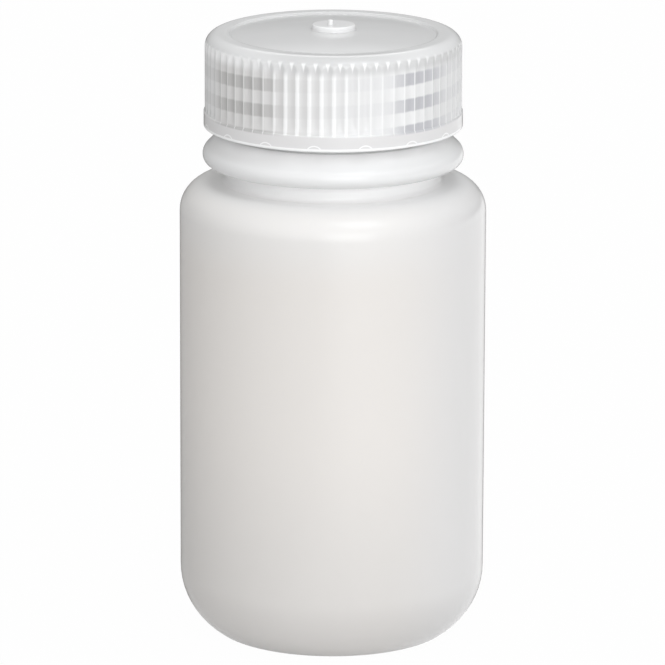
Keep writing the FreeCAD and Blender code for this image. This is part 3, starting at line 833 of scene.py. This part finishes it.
def floor_white():
    """A floor that looks white to the camera and still takes a soft shadow.

    Reflections see it as a studio's floor, bright on the right and dim on the left.
    """
    nodes = Nodes(bpy.data.materials.new("floor_white"))
    x, y = nodes.place()[1:3]
    path = nodes.add("ShaderNodeLightPath")
    seen, glossy = path.outputs["Is Camera Ray"], path.outputs["Is Glossy Ray"]
    sides = nodes.ramp(x, *FLOOR_GLOW_CHANGE_X, FLOOR_GLOW_LEFT, FLOOR_GLOW_RIGHT)
    # Straight behind the bottle the studio is dark, which draws its thin edge lines.
    # The dark part widens with the distance, so that the lines stay as thin from top to bottom.
    past_side = nodes.math("SUBTRACT", nodes.math("ABSOLUTE", x), BODY_R)
    spread = nodes.math("DIVIDE", past_side, y)
    behind = nodes.math("MULTIPLY", nodes.ramp(y, *FLOOR_DARK_START_Y),
                        nodes.ramp(spread, *FLOOR_DARK_SPREAD, 1.0, 0.0))
    reflected = nodes.product(sides, nodes.math("SUBTRACT", 1.0, behind), glossy)
    glow = nodes.add("ShaderNodeEmission")
    nodes.feed(glow.inputs["Strength"], nodes.math("MAXIMUM", seen, reflected))
    share = nodes.math("MAXIMUM", nodes.math("MULTIPLY", seen, FLOOR_WHITENESS), glossy)
    blend = nodes.add("ShaderNodeMixShader")
    nodes.set(Base_Color=(FLOOR_GREY, FLOOR_GREY, FLOOR_GREY, 1), Roughness=0.9)
    nodes.feed(blend.inputs[0], share)
    nodes.feed(blend.inputs[1], nodes.shader.outputs[0])
    nodes.feed(blend.inputs[2], glow.outputs[0])
    nodes.feed(nodes.tree.nodes["Material Output"].inputs["Surface"], blend.outputs[0])
    return nodes.owner


def make_stage():
    """A wide white floor under the bottle."""
    half = FLOOR_HALF_SIDE
    data = bpy.data.meshes.new("floor")
    corners = [(-half, -half, 0), (half, -half, 0), (half, half, 0), (-half, half, 0)]
    data.from_pydata(corners, [], [(0, 1, 2, 3)])
    floor = bpy.data.objects.new("floor", data)
    bpy.context.scene.collection.objects.link(floor)
    floor.data.materials.append(floor_white())


def add_lamp(name, turn, rise, size, power, colour=(1, 1, 1)):
    """A soft square lamp that faces the bottle, placed by degrees right of the front and up."""
    target = Vector((0, 0, LAMP_TARGET_Z))
    turn, rise = math.radians(turn), math.radians(rise)
    place = target + LAMP_DISTANCE * Vector((
        math.cos(rise) * math.sin(turn), -math.cos(rise) * math.cos(turn), math.sin(rise)))
    data = bpy.data.lights.new(name, "AREA")
    data.size = size
    data.energy = power
    data.color = colour
    lamp = bpy.data.objects.new(name, data)
    lamp.location = place
    lamp.rotation_euler = (target - place).to_track_quat("-Z", "Y").to_euler()
    bpy.context.scene.collection.objects.link(lamp)


def make_surroundings():
    """White to the camera. Other rays see a studio that is brightest in front, above and right."""
    world = bpy.data.worlds.new("studio")
    bpy.context.scene.world = world
    nodes = Nodes(world)
    direction = nodes.add("ShaderNodeTexCoord").outputs["Generated"]
    parts = nodes.add("ShaderNodeSeparateXYZ")
    nodes.feed(parts.inputs[0], direction)
    right, behind, above = parts.outputs
    front = nodes.math("MULTIPLY", behind, -1.0)
    light = STUDIO_BASE
    for side, gain in ((front, STUDIO_FRONT), (above, STUDIO_ABOVE), (right, STUDIO_RIGHT)):
        share = nodes.math("MAXIMUM", side, 0.0)
        light = nodes.math("ADD", light, nodes.math("MULTIPLY", share, gain))
    camera_ray = nodes.add("ShaderNodeLightPath").outputs["Is Camera Ray"]
    background = nodes.tree.nodes["Background"]
    nodes.feed(background.inputs["Color"], (1, 1, 1, 1))
    nodes.feed(background.inputs["Strength"], nodes.math("MAXIMUM", camera_ray, light))


def make_lights():
    """Plain soft studio light: a lamp high on the right, one low in front and one high behind."""
    add_lamp("key", turn=30, rise=57, size=0.5, power=KEY_POWER, colour=(0.92, 0.965, 1.0))
    add_lamp("front_fill", turn=12, rise=10, size=0.7, power=FILL_POWER, colour=(0.98, 0.99, 1.0))
    add_lamp("back_fill", turn=180, rise=45, size=0.5, power=BACK_POWER)
    make_surroundings()


def make_camera():
    """The photograph's view: far away, looking down a little, with the bottle leaning a hair."""
    pixels = 665
    focal_pixels = 6095
    target = Vector((0, 0, 49.7 * MM))
    distance = 1.0
    pitch = math.radians(14.22)
    lean = math.radians(0.2)
    data = bpy.data.cameras.new("camera")
    data.sensor_width = 36
    data.lens = focal_pixels / pixels * data.sensor_width
    data.clip_start, data.clip_end = 0.01, 20
    camera = bpy.data.objects.new("camera", data)
    camera.location = target + Vector((0, -math.cos(pitch), math.sin(pitch))) * distance
    camera.rotation_euler = Euler((math.radians(90) - pitch, 0, 0))
    camera.rotation_euler.rotate_axis("Z", lean)
    bpy.context.scene.collection.objects.link(camera)
    bpy.context.scene.camera = camera


bottle = make_bottle()
bottle.data.materials.append(milky_polyethylene())
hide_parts("bottle")
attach(bottle, "bottle")

cap_material = natural_polypropylene()
cap = make_cap()
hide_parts("screw_cap")
for piece in (cap, make_cap_thread(), make_nub()):
    piece.data.materials.append(cap_material)
    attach(piece, "screw_cap")

make_stage()
make_lights()
make_camera()
bpy.context.scene.view_settings.view_transform = "Standard"
